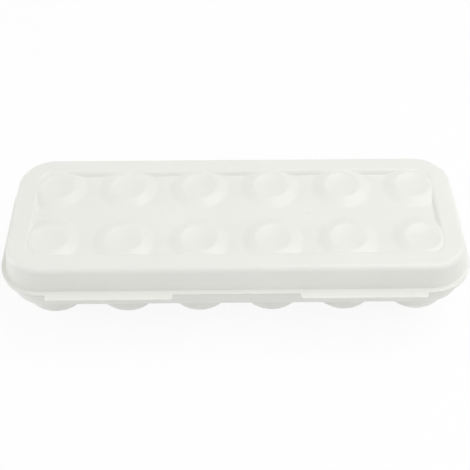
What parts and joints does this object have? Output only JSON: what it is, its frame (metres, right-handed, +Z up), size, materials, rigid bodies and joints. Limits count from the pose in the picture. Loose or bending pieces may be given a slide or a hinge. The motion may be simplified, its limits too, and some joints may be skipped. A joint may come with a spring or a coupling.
{
  "type": "egg keeper with flip lid",
  "caption": "White plastic egg keeper: a shallow tray with round hanging cups under a hinged lid with dished domes and lift tabs on the front.",
  "frame": {"origin": "centre of the plan, on the table under the cup feet", "axes": "+X along the row of six to the right, +Y to the hinge at the rear, +Z up"},
  "size_m": [0.317, 0.1266, 0.064],
  "materials": {
    "tray_plastic": "satin white moulded plastic",
    "lid_plastic": "satin white moulded plastic",
    "pin_steel": "drawn wire"
  },
  "bodies": {
    "tray": {"tray": "tray_plastic", "hinge_pin_left": "pin_steel", "hinge_pin_right": "pin_steel"},
    "lid": {"lid": "lid_plastic"}
  },
  "joints": [
    {"name": "lid_hinge", "type": "hinge", "parent": "tray", "child": "lid", "pos_m": [0, 0.0607, 0.0446], "axis": [-1, 0, 0], "range_deg": [0, 110]}
  ]
}
